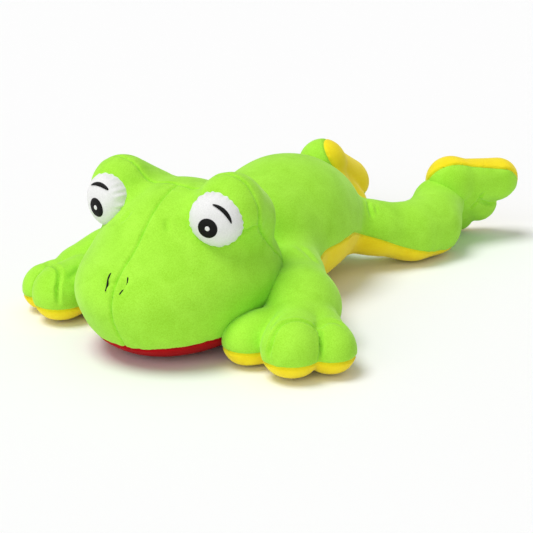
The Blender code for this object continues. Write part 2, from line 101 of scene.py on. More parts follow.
# Stations along the left limbs: place and radius
ARM_LINE = ((38, -88, 46, 27), (63, -129, 42, 26.5), (97, -167, 35, 30), (114, -196, 27, 27))
ARM_BLEND = 22
HAND_TOES = (
    ((102, -196, 26, 23), (90, -219, 22, 22), (84, -229, 21, 21.5)),
    ((118, -206, 27, 25), (130, -234, 25.5, 25.5)),
    ((130, -192, 25, 23), (148, -206, 22, 21), (153, -210, 21.5, 21)),
)
TOE_BLEND = 6
HAND_TOE_GAP_BLEND = 2.5
HAND_BLEND = 5
LEG_LINE = ((18, 36, 46, 30), (44, 62, 39, 23.5), (64, 96, 30, 26.5), (71, 127, 31, 27.5), (62, 160, 44, 27))
LEG_BLEND = 17
FOOT_HEEL = ((68, 176, 66), (26, 26, 26))
FOOT_TOES = (
    ((74, 184, 65.5, 24), (98.5, 219, 62.5, 24.5)),
    ((74, 188, 54, 22), (80, 219, 34, 20.5)),
    ((66, 184, 50, 24), (60, 208, 21, 20)),
)
FOOT_FLAT = 0.86
FOOT_TOE_GAP_BLEND = 3
SOLE_NORMAL = np.array((-0.6, 0.6, 0.5))
SOLE_NORMAL /= np.linalg.norm(SOLE_NORMAL)
SOLE_PLACE = np.array((77, 200, 52))
SOLE_OFFSETS = {LEFT: -3.5, RIGHT: 13}

# Forms of the head
HEAD_LUMPS = (
    ((0, -218, 56), (78, 91, 52)),
    ((0, -226, 30), (62, 64, 31)),
    ((0, -193, 64), (82, 72, 54)),
    ((0, -202, 92), (60, 60, 49)),
)
HEAD_BLENDS = (20, 25, 25)
BROW_LINE = ((56, -211, 127, 29), (50, -188, 112, 30))
BROW_LINE_BLEND = 8
BROW_BLEND = 14
MIDDLE_SEAM_X = 4.5
LIP_HEIGHT = 17.5
LIP_MIDDLE_X = 8
LIP_RISE = 0.0016
THROAT_Y = -190
BROW_SEAM_Y = -215
BROW_SEAM_BEND = 116
BROW_SEAM_ROUND = 10
BROW_SEAM_SLANT = 1.2
NOSTRIL_LINE = ((8.5, -296, 82), (9.4, -299, 78.5), (8.3, -303, 74.5), (6.8, -306, 70))
NOSTRIL_RADIUS = 0.9
NOSTRIL_PROUD = 0.3
NOSTRIL_SINKS = {LEFT: 0.9, RIGHT: 0}
NOSTRIL_EVENING = 3
NOSTRIL_SEGMENTS = 10
NOSTRIL_END_SHARE = 0.45
NOSTRIL_TAPER = 0.5
NOSTRIL_FLAT = 0.8

# Folds and ties pressed into the form: line, depth, width and height of the lip beside it
HAND_FOLDS = (
    (
        ((124, -258, 20), (124, -259, 26), (125, -257, 36), (125, -251, 44), (127, -244, 49), (132, -237, 51),
         (138, -231, 50), (144, -226, 45), (149, -223, 40), (153, -227, 36), (155, -230, 30), (156, -231, 24),
         (155, -231, 18)),
        3.4, 1.6, 0.9,
    ),
    (((145, -226, 44), (148, -209, 44), (156, -203, 43), (164, -206, 40)), 1.8, 3, 0.3),
    (((113, -223, 49), (114, -236, 46), (119, -249, 43)), 1.6, 3, 0.3),
)
TORSO_FOLDS = (
    (((66, -122, 78), (81, -128, 74), (97, -132, 65)), 1.8, 3.5, 0.4),
    (((40, 52, 72), (48, 42, 66), (55, 36, 56)), 2.6, 1.9, 0.7),
    (((46, 52, 69), (51, 48, 66), (56, 41, 60)), 1.8, 1.5, 0.4),
)
FOOT_FOLDS = (
    (
        ((99, 223, 37), (98, 211, 38), (96, 200, 42), (95, 190, 47), (99, 189, 53), (103, 191, 57)),
        2.6, 1.7, 0.8,
    ),
    (((95, 190, 47), (90, 188, 40), (86, 188, 35)), 1.8, 1.8, 0.5),
)
HEAD_FOLDS = (
    (((66, -231, 99), (75, -225, 107), (81, -217, 112), (84, -206, 115)), 2.5, 5.5, 0),
    (((70, -228, 104), (77, -223, 109), (81, -217, 113), (84, -208, 115)), 2.2, 1.7, 0.7),
    (((25, -254, 110), (21, -253, 116), (19, -249, 123)), 1.8, 2.2, 0.4),
)
NOSTRIL_FOLD = (1.3, 2.2, 0.5)
PINCH_FOLD = (((-6, -303, 76), (0, -304, 77), (6, -303, 78)), 1.4, 2, 0.4)

# A fold's lip and reach as shares of its width, and its fading ends as a share of its length
LIP_PLACE_SHARE = 2.2
FOLD_REACH_SHARE = 4.5
FOLD_END_SHARE = 0.3

# Eyes: the ball with its gathers, then the patches on it
EYE_PLACE = np.array((56, -231, 122))
EYE_TURN = 20
EYE_RADIUS = 23
EYE_DEPTH = 16.5
EYE_FULLNESS = 2.3
EYE_SEGMENTS = 176
EYE_TILTS = (
    8, 16, 24, 32, 40, 47, 53, 58, 63, 67, 71, 75, 79, 82, 85, 88, 91, 95, 100, 108, 118, 132, 150, 166,
)
EYE_GATHERS = 22
EYE_GATHER_DEPTH = 0.9
EYE_GATHER_TILT = 86
EYE_GATHER_SPREAD = 17
EYE_GATHER_MEAN = 0.55
EYE_GATHER_CHANGE = 0.45
EYE_GATHER_DRIFT = 1.8
EYE_GATHER_SINK = 0.5
EYE_STRENGTH_NOISE = {"scale": 2.6, "shift": 9, "seed": 5}
EYE_DRIFT_NOISE = {"scale": 3.1, "shift": 4, "seed": 6}
EYE_DENT_DEPTH = 1.4
EYE_DENT_WIDTH = 2.4
EYE_DENT_CHANGE = (-6, 0)
PUPIL_AT = (-4, -4)
PUPIL_RADIUS = 8.4
GLINT_RADIUS = 2.1
LASH_RADIUS = 20
LASH_WIDTH = 3.1
LASH_ROWS = 25
LASH_END_SHARE = 0.18
LASH_TAPER = 0.7
LASH_ANGLES = {LEFT: (14, 79), RIGHT: (57, 120)}
LASH_THICKNESS = 1
PATCH_THICKNESS = 0.7
PATCH_SEGMENTS = 48
PATCH_ROOT = -0.6
PATCH_CROWN = 1.12
PATCH_EDGE = ((0, PATCH_ROOT), (0, 0.35), (0.05, 0.8), (0.12, 1), (0.5, PATCH_CROWN), (0.88, 1), (0.95, 0.8))
LASH_EDGE = ((-1, -0.5), (-1, 0.3), (-0.8, 0.75), (0, 1), (0.8, 0.75), (1, 0.3), (1, -0.5))

# Seams: how far they are drawn in, how wide, and the puckers beside them
SEAM_DEPTH = 1.9
SEAM_WIDTH = 0.8
PUCKER_DEPTH = 0.55
PUCKER_REACH = 7
PUCKER_LENGTH = 5.5
PUCKER_REACH_SHARE = 2.2
SWELL_DEPTH = 0.5
SWELL_LENGTH = 30
SAMPLE_SPACING = 0.5

# Where blended limbs leave the torso: the way along the limb, distance from the joint, length of the bend
ARM_WAY = np.array((0.5, -0.85, 0)) / np.linalg.norm((0.5, -0.85))
LEG_WAY = np.array((0.24, 0.97, 0)) / np.linalg.norm((0.24, 0.97))
ARM_BEND = (24, 34)
LEG_BEND = (31, 36)
BEND_CLEAR = 1.5

# Seam heights, and the least height of the covers over the floor
SIDE_SEAM = (
    (-130, 52), (-45, 53), (-12, 54), (14, 47), (38, 36), (66, 22), (90, 14), (116, 10), (170, 9), (220, 9),
)
ARM_SEAM = 16.5
ARM_SEAM_CHANGE = (5, 38)
FLOOR_CLEAR = 0.15

# Spaces that are skinned
BODY_BOX = ((-206, -266, -2), (184, 202, 140))
HEAD_BOX = ((-92, -316, -2), (92, -112, 162))
FOOT_BOXES = {LEFT: ((-10, 120, -2), (160, 262, 110)), RIGHT: ((-190, 60, -2), (-30, 260, 110))}

# Noise: seeds, and the factors that mix a place into a number
BODY_SEED = 11
HEAD_SEED = 23
FOOT_SEED = 31
HASH_FACTORS = (73856093, 19349663, 83492791, 2654435761)
HASH_MIX = 1274126177

# Camera
CAMERA_AZIMUTH = 33
CAMERA_ELEVATION = 18
CAMERA_DISTANCE = 1.5
CAMERA_TARGET = Vector((-0.046, 0, 0))
SENSOR_WIDTH = 36
LENS = 101.3

# Light and floor; each lamp's way across the view, towards the camera and up, its strength and its spread
AMBIENT = 0.4
LAMPS = (("key", (-0.35, 0.12, 1), 1.9, 30), ("front", (-0.4, 0.85, 0.3), 0.9, 60))
FLOOR_SPAN = 4
FLOOR_TONE = 0.93

# Velours: colour at the tips of the pile, colour at its roots, tint of the sheen and its weight
VELOURS = {
    "green velour": ((0.42, 0.86, 0.062), (0.3, 0.69, 0.025), (0.75, 1, 0.45), 0.35),
    "yellow velour": ((0.95, 0.8, 0.02), (0.9, 0.68, 0.008), (1, 0.93, 0.5), 0.35),
    "red velour": ((0.5, 0.001, 0.006), (0.34, 0.001, 0.003), (1, 0.2, 0.2), 0.06),
    "white velour": ((0.84, 0.84, 0.83), (0.72, 0.72, 0.71), (1, 1, 1), 0.25),
}
VELOUR_INPUTS = {"Roughness": 0.92, "Specular IOR Level": 0.18, "Sheen Roughness": 0.42}
PILE_PATCHES = {"Scale": 50, "Detail": 3, "Distortion": 0.6}
PILE_TIPS = {"Scale": 900, "Detail": 4, "Roughness": 0.65}
TIPS_SHARE = 0.66
PILE_RANGE = (0.34, 0.63)
PILE_BUMP = {"Strength": 0.45, "Distance": 0.0006}

# Stitches: colour of the strands and between them
THREAD = "black embroidery"
BLACK = (0.008, 0.008, 0.007)
BLACK_DEEP = (0.003, 0.003, 0.003)
THREAD_INPUTS = {"Roughness": 0.6, "Specular IOR Level": 0.12}
STRAND_SCALE = (2400, 2400, 500)
STRANDS = {"Scale": 1, "Detail": 2}
STRAND_RANGE = (0.35, 0.65)
STRAND_BUMP = {"Strength": 0.35, "Distance": 0.0003}


# Distance fields


def soft_min(a, b, k):
    share = np.clip(0.5 + 0.5 * (b - a) / k, 0, 1)
    return b * (1 - share) + a * share - k * share * (1 - share)


def soft_max(a, b, k):
    return -soft_min(-a, -b, k)


def ellipsoid(p, centre, radii):
    q = p - np.array(centre)
    radii = np.array(radii, float)
    near = np.sqrt(((q / radii) ** 2).sum(-1)) + 1e-6
    steep = np.sqrt(((q / radii**2) ** 2).sum(-1)) + 1e-9
    return near * (near - 1) / steep


def round_cone(p, start, end, flat, up):
    """Distance to a bar that tapers between two balls, squeezed to a share of its thickness along up."""
    q = p - np.array(start[:3])
    span = np.array(end[:3], float) - np.array(start[:3])
    if flat != 1:
        q = q + ((q @ up) * (1 / flat - 1))[..., None] * up
        span = span + (span @ up) * (1 / flat - 1) * up
    share = np.clip(q @ span / (span @ span), 0, 1)
    radius = start[3] + (end[3] - start[3]) * share
    return (np.linalg.norm(q - share[..., None] * span, axis=-1) - radius) * math.sqrt(flat)


def chain(p, line, k, flat=1, up=None):
    """Distance to bars that run from station to station, each blended into the next over k."""
    found = None
    for start, end in zip(line[:-1], line[1:]):
        bar = round_cone(p, start, end, flat, up)
        found = bar if found is None else soft_min(found, bar, k)
    return found


def lumps(p, table, blends):
    found = ellipsoid(p, *table[0])
    for (centre, radii), k in zip(table[1:], blends):
        found = soft_min(found, ellipsoid(p, centre, radii), k)
    return found


def turned_back(p, pivot, degrees):
    """Points as they were before a turn about the upright axis through pivot."""
    angle = math.radians(-degrees)
    q = p - pivot
    x = q[..., 0] * math.cos(angle) - q[..., 1] * math.sin(angle)
    y = q[..., 0] * math.sin(angle) + q[..., 1] * math.cos(angle)
    return np.stack([x, y, q[..., 2]], -1) + pivot


def on_left(p):
    """Points with those of the right half mirrored to the left."""
    q = p * 1.0
    q[..., 0] = np.abs(q[..., 0])
    return q


def to_left(p, side, *turns):
    """Points of a side's limb taken to the unturned left limb; turns are pivots on that side and degrees."""
    q = p
    if side == RIGHT:
        for pivot, degrees in turns:
            q = turned_back(q, pivot, degrees)
        q = q * np.array((-1, 1, 1))
    return q


def torso_field(p):
    return lumps(p, TORSO_LUMPS, TORSO_BLENDS)


def arm_local(p, side):
    return to_left(p, side, (JOINTS["shoulder_right"], RIGHT_ARM_TURN))


def hand_local(p, side):
    q = arm_local(p, side)
    wrist = np.array(ARM_LINE[2][:3])
    return q if side == LEFT else turned_back(q, wrist, -RIGHT_HAND_TURN)


def arm_field(p, side):
    arm = chain(arm_local(p, side), ARM_LINE, ARM_BLEND)
    q = hand_local(p, side)
    hand = chain(q, HAND_TOES[0], TOE_BLEND)
    for toe in HAND_TOES[1:]:
        hand = soft_min(hand, chain(q, toe, TOE_BLEND), HAND_TOE_GAP_BLEND)
    return soft_min(arm, hand, HAND_BLEND)


def leg_local(p, side):
    return to_left(p, side, (JOINTS["hip_right"], RIGHT_LEG_TURN))


def leg_field(p, side):
    return chain(leg_local(p, side), LEG_LINE, LEG_BLEND)


def foot_local(p, side):
    """Points taken to the left foot's frame; the right foot is also spun about its heel."""
    ankle = JOINTS["ankle_right"]
    q = to_left(p, side, (ankle, RIGHT_FOOT_TURN), (JOINTS["hip_right"], RIGHT_LEG_TURN))
    if side == RIGHT:
        spin = Matrix.Rotation(math.radians(RIGHT_FOOT_SPIN), 3, Vector(SOLE_NORMAL))
        heel = np.array(FOOT_HEEL[0])
        q = (q - heel) @ np.array(spin).T + heel
    return q


def foot_field(p, side):
    q = foot_local(p, side)
    found = ellipsoid(q, *FOOT_HEEL)
    for toe in FOOT_TOES:
        found = soft_min(found, chain(q, toe, TOE_BLEND, FOOT_FLAT, SOLE_NORMAL), FOOT_TOE_GAP_BLEND)
    return found


def on_floor(p, field):
    return soft_max(field, -p[..., 2], FLOOR_ROUND)


def body_field(p):
    found = torso_field(p)
    for side in SIDE_NAMES:
        found = soft_min(found, arm_field(p, side), ARM_TO_TORSO_BLEND)
        found = soft_min(found, leg_field(p, side), LEG_TO_TORSO_BLEND)
    return on_floor(p, found)


def head_field(p):
    found = lumps(p, HEAD_LUMPS, HEAD_BLENDS)
    brow = chain(on_left(p), BROW_LINE, BROW_LINE_BLEND)
    return on_floor(p, soft_min(found, brow, BROW_BLEND))


def slope(field, p):
    """Gradient of a field at points, by differences."""
    parts = []
    for axis in range(3):
        step = np.zeros(3)
        step[axis] = SLOPE_REACH
        parts.append((field(p + step) - field(p - step)) / (2 * SLOPE_REACH))
    return np.stack(parts, -1)


def settle(field, p, rounds=SETTLE_ROUNDS):
    """Points moved onto the surface where a field is zero."""
    for _ in range(rounds):
        way = slope(field, p)
        p = p - way * (field(p) / np.maximum((way**2).sum(-1), LEAST_STEEP))[..., None]
    return p


# Skinning


def near_nodes(field, low, counts, step):
    """Values of a field on a grid, exact beside the surface and rough elsewhere."""
    cells = [math.ceil(count / COARSE_CELLS) for count in counts]
    wide = step * COARSE_CELLS
    axes = [low[i] + wide * (np.arange(cells[i]) + 0.5) for i in range(3)]
    middles = np.stack(np.meshgrid(*axes, indexing="ij"), -1)
    rough = np.empty(cells)
    for i in range(cells[0]):
        rough[i] = field(middles[i])
    full = np.repeat(np.repeat(np.repeat(rough, COARSE_CELLS, 0), COARSE_CELLS, 1), COARSE_CELLS, 2)
    values = np.pad(full, ((0, 1), (0, 1), (0, 1)), mode="edge")
    close = np.argwhere(np.abs(rough) < NEAR_CELLS * wide)
    wanted = np.zeros(values.shape, bool)
    for di in range(COARSE_CELLS + 1):
        for dj in range(COARSE_CELLS + 1):
            for dk in range(COARSE_CELLS + 1):
                at = close * COARSE_CELLS + (di, dj, dk)
                wanted[at[:, 0], at[:, 1], at[:, 2]] = True
    picked = np.argwhere(wanted)
    values[wanted] = field(low + picked * step)
    return values


def cell_points(values):
    """A place in each grid cell that the surface crosses, in cells, and the place's number by cell."""
    inside = values < 0
    shape = np.array(values.shape) - 1
    corners = [(i, j, k) for i in (0, 1) for j in (0, 1) for k in (0, 1)]
    total = sum(
        inside[i : i + shape[0], j : j + shape[1], k : k + shape[2]].astype(np.int8) for i, j, k in corners
    )
    cells = np.argwhere((total > 0) & (total < len(corners)))
    places = np.zeros((len(cells), 3))
    crossings = np.zeros(len(cells))
    for axis in range(3):
        along = np.eye(3, dtype=int)[axis]
        for corner in corners:
            if corner[axis]:
                continue
            a = cells + corner
            b = a + along
            va = values[a[:, 0], a[:, 1], a[:, 2]]
            vb = values[b[:, 0], b[:, 1], b[:, 2]]
            crossed = (va < 0) != (vb < 0)
            share = np.where(crossed, va / np.where(crossed, va - vb, 1), 0)
            places += np.where(crossed[:, None], a + share[:, None] * along, 0)
            crossings += crossed
    number = np.full(shape, -1)
    number[cells[:, 0], cells[:, 1], cells[:, 2]] = np.arange(len(cells))
    return places / crossings[:, None], number


def cell_quads(inside, number):
    """A quad round each grid edge that the surface crosses, facing out."""
    shape = np.array(number.shape)
    quads = []
    for axis in range(3):
        u, v = [np.eye(3, dtype=int)[(axis + n) % 3] for n in (1, 2)]
        ahead = np.roll(inside, -1, axis)
        change = np.argwhere(inside != ahead)
        change = change[(change[:, axis] < shape[axis]) & (change > 0).all(1) & (change < shape).all(1)]
        ring = [change - u - v, change - v, change, change - u]
        ids = np.stack([number[r[:, 0], r[:, 1], r[:, 2]] for r in ring], 1)
        flip = inside[change[:, 0], change[:, 1], change[:, 2]]
        quads.append(np.where(flip[:, None], ids, ids[:, ::-1]))
    quads = np.concatenate(quads)
    return quads[(quads >= 0).all(1)]


def skin(field, low, high, step):
    """Points and quads over the surface where a field is zero."""
    low = np.array(low, float)
    counts = [math.ceil((b - a) / step) for a, b in zip(low, high)]
    values = near_nodes(field, low, counts, step)
    places, number = cell_points(values)
    quads = cell_quads(values < 0, number)
    points = settle(field, low + places * step)
    for _ in range(RELAX_ROUNDS):
        points = settle(field, evened(points, quads), 1)
    return points, quads


def evened(points, quads):
    """Each point halfway to the mean of its neighbours."""
    total = np.zeros_like(points)
    count = np.zeros(len(points))
    for n in range(4):
        a, b = quads[:, n], quads[:, (n + 1) % 4]
        np.add.at(total, a, points[b])
        np.add.at(count, a, 1)
        np.add.at(total, b, points[a])
        np.add.at(count, b, 1)
    return (points + total / np.maximum(count, 1)[:, None]) / 2


# Cutting along seams


def cut_along(bm, value, step):
    """New edges over the surface where a value passes zero."""
    bm.verts.ensure_lookup_table()
    verts = list(bm.verts)
    points = np.array([v.co for v in verts])
    amount = value(points)
    way = slope(value, points)
    normals = np.array([v.normal for v in verts])
    way -= (way * normals).sum(-1)[:, None] * normals
    steep = np.maximum((way**2).sum(-1), LEAST_SEAM_STEEP)
    near = np.abs(amount) / np.sqrt(steep) < SNAP_SHARE * step
    moved = points - way * (amount / steep)[:, None]
    level = {}
    for v, is_near, place, number in zip(verts, near, moved, amount):
        level[v] = 0.0 if is_near else float(number)
        if is_near:
            v.co = place
    crossed = [e for e in bm.edges if level[e.verts[0]] * level[e.verts[1]] < 0]
    for edge in crossed:
        a, b = edge.verts
        share = level[a] / (level[a] - level[b])
        _, made = bmesh.utils.edge_split(edge, a, share)
        level[made] = 0.0
    for face in list(bm.faces):
        signs = {level[v] > 0 for v in face.verts if level[v]}
        on_line = [v for v in face.verts if not level[v]]
        if len(signs) == 2 and len(on_line) == 2:
            bmesh.utils.face_split(face, on_line[0], on_line[1])
    bm.normal_update()


def new_bmesh(points, quads):
    bm = bmesh.new()
    for p in points:
        bm.verts.new(p)
    bm.verts.ensure_lookup_table()
    verts = bm.verts
    for quad in quads:
        bm.faces.new([verts[i] for i in quad])
    bm.normal_update()
    return bm


# Noise and drawing in


def lattice_noise(p, seed):
    """Smooth noise from -1 to 1, one bump to a unit, from a hash of the lattice."""
    fx, fy, fz, fs = HASH_FACTORS
    cell = np.floor(p).astype(np.int64)
    share = p - cell
    share = share * share * (3 - 2 * share)
    total = np.zeros(len(p))
    for i in (0, 1):
        for j in (0, 1):
            for k in (0, 1):
                x, y, z = cell[:, 0] + i, cell[:, 1] + j, cell[:, 2] + k
                mixed = (x * fx) ^ (y * fy) ^ (z * fz) ^ (seed * fs)
                mixed = (mixed ^ (mixed >> 13)) * HASH_MIX
                number = ((mixed ^ (mixed >> 16)) & 65535) / 32767.5 - 1
                weight = np.where(i, share[:, 0], 1 - share[:, 0])
                weight = weight * np.where(j, share[:, 1], 1 - share[:, 1])
                weight = weight * np.where(k, share[:, 2], 1 - share[:, 2])
                total += number * weight
    return total


def nearest(points, samples, reach):
    """Distance to the nearest sample and that sample, for points within reach."""
    tree = KDTree(len(samples))
    for i, sample in enumerate(samples):
        tree.insert(sample, i)
    tree.balance()
    far = np.full(len(points), np.inf)
    spot = np.zeros_like(points)
    low, high = samples.min(0) - reach, samples.max(0) + reach
    for i in np.nonzero(((points > low) & (points < high)).all(1))[0]:
        place, _, gap = tree.find(points[i])
        if gap < reach:
            far[i] = gap
            spot[i] = place
    return far, spot


def samples_along(points, pairs):
    found = []
    for a, b in pairs:
        count = max(1, int(np.linalg.norm(points[b] - points[a]) / SAMPLE_SPACING))
        for i in range(count + 1):
            found.append(points[a] + (points[b] - points[a]) * i / count)
    return np.array(found)


def seam_inset(points, pairs, seed):
    """How far each point is drawn in by a seam and its puckers."""
    samples = samples_along(points, pairs)
    far, spot = nearest(points, samples, PUCKER_REACH * PUCKER_REACH_SHARE)
    groove = np.exp(-((far / SEAM_WIDTH) ** 2))
    pucker = PUCKER_DEPTH * np.exp(-((far / PUCKER_REACH) ** 2)) * (1 - groove)
    return SEAM_DEPTH * groove + pucker * lattice_noise(spot / PUCKER_LENGTH, seed)


def smooth_line(stations, count=FOLD_STATIONS):
    """Points along a smooth curve through stations."""
    stations = np.array(stations, float)
    spread = np.linspace(0, len(stations) - 1, count)
    padded = np.vstack([2 * stations[0] - stations[1], stations, 2 * stations[-1] - stations[-2]])
    found = []
    for u in spread:
        i = min(int(u), len(stations) - 2)
        t = u - i
        a, b, c, d = padded[i : i + 4]
        line = 2 * b + (c - a) * t
        curve = (2 * a - 5 * b + 4 * c - d) * t**2
        found.append(0.5 * (line + curve + (3 * b - a - 3 * c + d) * t**3))
    return np.array(found)


def fold_inset(points, field, line, depth, width, lip):
    """How far each point is drawn in by a fold: its line on the surface, depth, width and lip beside it."""
    line = settle(field, smooth_line(line))
    samples = samples_along(line, list(zip(range(len(line) - 1), range(1, len(line)))))
    far, spot = nearest(points, samples, width * FOLD_REACH_SHARE)
    ends = np.minimum(
        np.linalg.norm(spot - line[0], axis=-1), np.linalg.norm(spot - line[-1], axis=-1)
    ) / (np.linalg.norm(line[0] - line[-1]) * FOLD_END_SHARE)
    fade = np.where(np.isfinite(far), np.clip(ends, 0, 1), 0)
    fade = fade * fade * (3 - 2 * fade)
    beside = (far - LIP_PLACE_SHARE * width) / width
    return fade * (depth * np.exp(-((far / width) ** 2)) - lip * np.exp(-(beside**2)))


# Meshes and objects


def panel_object(name, points, faces, normals=None):
    """An object from some faces of a larger set of points, with smooth shading."""
    used = sorted({i for face in faces for i in face})
    number = {old: new for new, old in enumerate(used)}
    mesh = bpy.data.meshes.new(name)
    mesh.from_pydata(points[used] * MM, [], [[number[i] for i in face] for face in faces])
    mesh.shade_smooth()
    if normals is not None:
        mesh.normals_split_custom_set_from_vertices(normals[used])
    obj = bpy.data.objects.new(name, mesh)
    bpy.context.scene.collection.objects.link(obj)
    return obj


def corner_normals(points, faces):
    """Mean normal at each point of some faces."""
    found = np.zeros_like(points)
    for size in {len(face) for face in faces}:
        block = np.array([face for face in faces if len(face) == size])
        for n in range(1, size - 1):
            a, b, c = points[block[:, 0]], points[block[:, n]], points[block[:, n + 1]]
            across = np.cross(b - a, c - a)
            for corner in (block[:, 0], block[:, n], block[:, n + 1]):
                np.add.at(found, corner, across)
    return found / np.maximum(np.linalg.norm(found, axis=-1), 1e-9)[:, None]


def as_arrays(bm):
    bm.verts.index_update()
    points = np.array([v.co for v in bm.verts])
    faces = [[v.index for v in face.verts] for face in bm.faces]
    return points, faces


def middles(points, faces):
    return np.array([points[face].mean(0) for face in faces])


def seam_pairs(faces, labels):
    """Edges whose two faces carry different labels."""
    owner = {}
    found = []
    for face, label in zip(faces, labels):
        for a, b in zip(face, face[1:] + face[:1]):
            key = (a, b) if a < b else (b, a)
            if key in owner and owner[key] != label:
                found.append(key)
            owner[key] = label
    return found


def folded(field, local, folds):
    """Dents of some folds, for points that local takes to the frame that the folds are given in."""
    return [lambda p, fold=fold: fold_inset(local(p), field, *fold) for fold in folds]


def drawn_in(points, seed, dents):
    """How far points are drawn in by the lie of the filling and by dents."""
    total = SWELL_DEPTH * lattice_noise(points / SWELL_LENGTH, seed)
    for dent in dents:
        total += dent(points)
    return total


def stuffed(field, box, step, seams, sorter, seed, dents=()):
    """Covers of one stuffed form: skinned, cut along its seams, drawn in, and parted into panels.

    The sorter gives each face's panel and its cloth. Cloths meet in a seam; panels of one cloth run on into
    each other.
    """
    bm = new_bmesh(*skin(field, *box, step))
    for value in seams:
        cut_along(bm, value, step)
    points, faces = as_arrays(bm)
    bm.free()
    names, cloths = sorter(middles(points, faces))
    normals = corner_normals(points, faces)
    inset = drawn_in(points, seed, dents) + seam_inset(points, seam_pairs(faces, cloths), seed)
    shaped = points - normals * inset[:, None]
    shaped[:, 2] = np.maximum(shaped[:, 2], FLOOR_CLEAR)
    found = {}
    for cloth in sorted(set(cloths)):
        own = [face for face, label in zip(faces, cloths) if label == cloth]
        smooth = corner_normals(shaped, own)
        for name in sorted({n for n, label in zip(names, cloths) if label == cloth}):
            picked = [face for face, n, label in zip(faces, names, cloths) if n == name and label == cloth]
            found[name] = panel_object(f"{name}_cover", shaped, picked, smooth)
    return found


# Seam heights and sorting into panels


def rise(p, start, end):
    """0 before start and 1 past end, with a smooth change between."""
    share = np.clip((p - start) / (end - start), 0, 1)
    return share * share * (3 - 2 * share)


def past_shoulder(p, side):
    return (arm_local(p, side) - JOINTS["shoulder_left"]) @ ARM_WAY


def past_hip(p, side):
    return (leg_local(p, side) - JOINTS["hip_left"]) @ LEG_WAY


def body_seam(p):
    """Height over the seam between the green and yellow velour."""
    height = np.interp(p[..., 1], *smooth_line(SIDE_SEAM, SEAM_STATIONS).T)
    for side in SIDE_NAMES:
        own = p[..., 0] * side > 0
        arm = np.where(own, rise(past_shoulder(p, side), *ARM_SEAM_CHANGE), 0)
        height = height + arm * (ARM_SEAM - height)
    return p[..., 2] - height


def body_sorter(p):
    upper = body_seam(p) > 0
    names = np.where(upper, "torso_back", "torso_belly").astype(object)
    for side, word in SIDE_NAMES.items():
        own = p[:, 0] * side > 0
        nearer = arm_field(p, side) < torso_field(p)
        arm = own & nearer & (past_shoulder(p, side) > ARM_BEND[0])
        leg = own & (past_hip(p, side) > LEG_BEND[0])
        names[arm & upper] = f"arm_{word}_upper"
        names[arm & ~upper] = f"arm_{word}_under"
        names[leg & upper] = f"leg_{word}_upper"
        names[leg & ~upper] = f"leg_{word}_under"
    return list(names), list(np.where(upper, "green", "yellow"))


def middle_seam(p):
    return p[..., 0] - MIDDLE_SEAM_X


def brow_seam(p):
    """Distance ahead of the seam over the brows, which leans back below them."""
    below = BROW_SEAM_BEND - p[..., 2]
    lean = (below + np.hypot(below, BROW_SEAM_ROUND)) / 2
    return BROW_SEAM_Y + BROW_SEAM_SLANT * lean - p[..., 1]


def lip_seam(p):
    return p[..., 2] - LIP_HEIGHT - LIP_RISE * (p[..., 0] - LIP_MIDDLE_X) ** 2


def throat_seam(p):
    return THROAT_Y - p[..., 1]


def head_sorter(p):
    side = np.where(middle_seam(p) > 0, "face_left", "face_right").astype(object)
    over = lip_seam(p) > 0
    side[over & (brow_seam(p) < 0)] = "head_back"
    side[~over & (throat_seam(p) > 0)] = "mouth_lining"
    side[~over & (throat_seam(p) <= 0)] = "throat"
    return list(side), list(side)


def foot_seam(side):
    return lambda p: SOLE_OFFSETS[side] - (foot_local(p, side) - SOLE_PLACE) @ SOLE_NORMAL


def foot_sorter(side):
    word = SIDE_NAMES[side]
    seam = foot_seam(side)

    def sort(p):
        names = np.where(seam(p) > 0, f"foot_{word}_top", f"foot_{word}_sole")
        return list(names), list(names)

    return sort


# Eyes


def eye_axes(side):
    turn = math.radians(EYE_TURN) * side
    right = np.array((math.cos(turn), math.sin(turn), 0))
    out = np.array((math.sin(turn), -math.cos(turn), 0))
    return right, out, np.array((0, 0, 1.0))


def eye_local(p, side):
    """Points in the eye's own frame: right, outward and up from its centre."""
    q = p - EYE_PLACE * np.array((side, 1, 1))
    return np.stack([q @ axis for axis in eye_axes(side)], -1)


def eye_world(q, side):
    right, out, up = eye_axes(side)
    q = np.asarray(q, float)
    return EYE_PLACE * np.array((side, 1, 1)) + q[..., :1] * right + q[..., 1:2] * out + q[..., 2:3] * up


def dome(x, z, lift):
    """Outward height of the eye's front at a place, with a lift off it."""
    share = np.clip(np.hypot(x, z) / EYE_RADIUS, 0, 1)
    return EYE_DEPTH * (1 - share**EYE_FULLNESS) ** (1 / EYE_FULLNESS) + lift


def eye_dent(p):
    """The head's skin drawn in round the eyes' rims."""
    total = np.zeros(len(p))
    for side in SIDE_NAMES:
        q = eye_local(p, side)
        gap = ellipsoid(q, (0, 0, 0), (EYE_RADIUS, EYE_DEPTH, EYE_RADIUS))
        total += EYE_DENT_DEPTH * np.exp(-((gap / EYE_DENT_WIDTH) ** 2)) * rise(q[:, 1], *EYE_DENT_CHANGE)
    return total


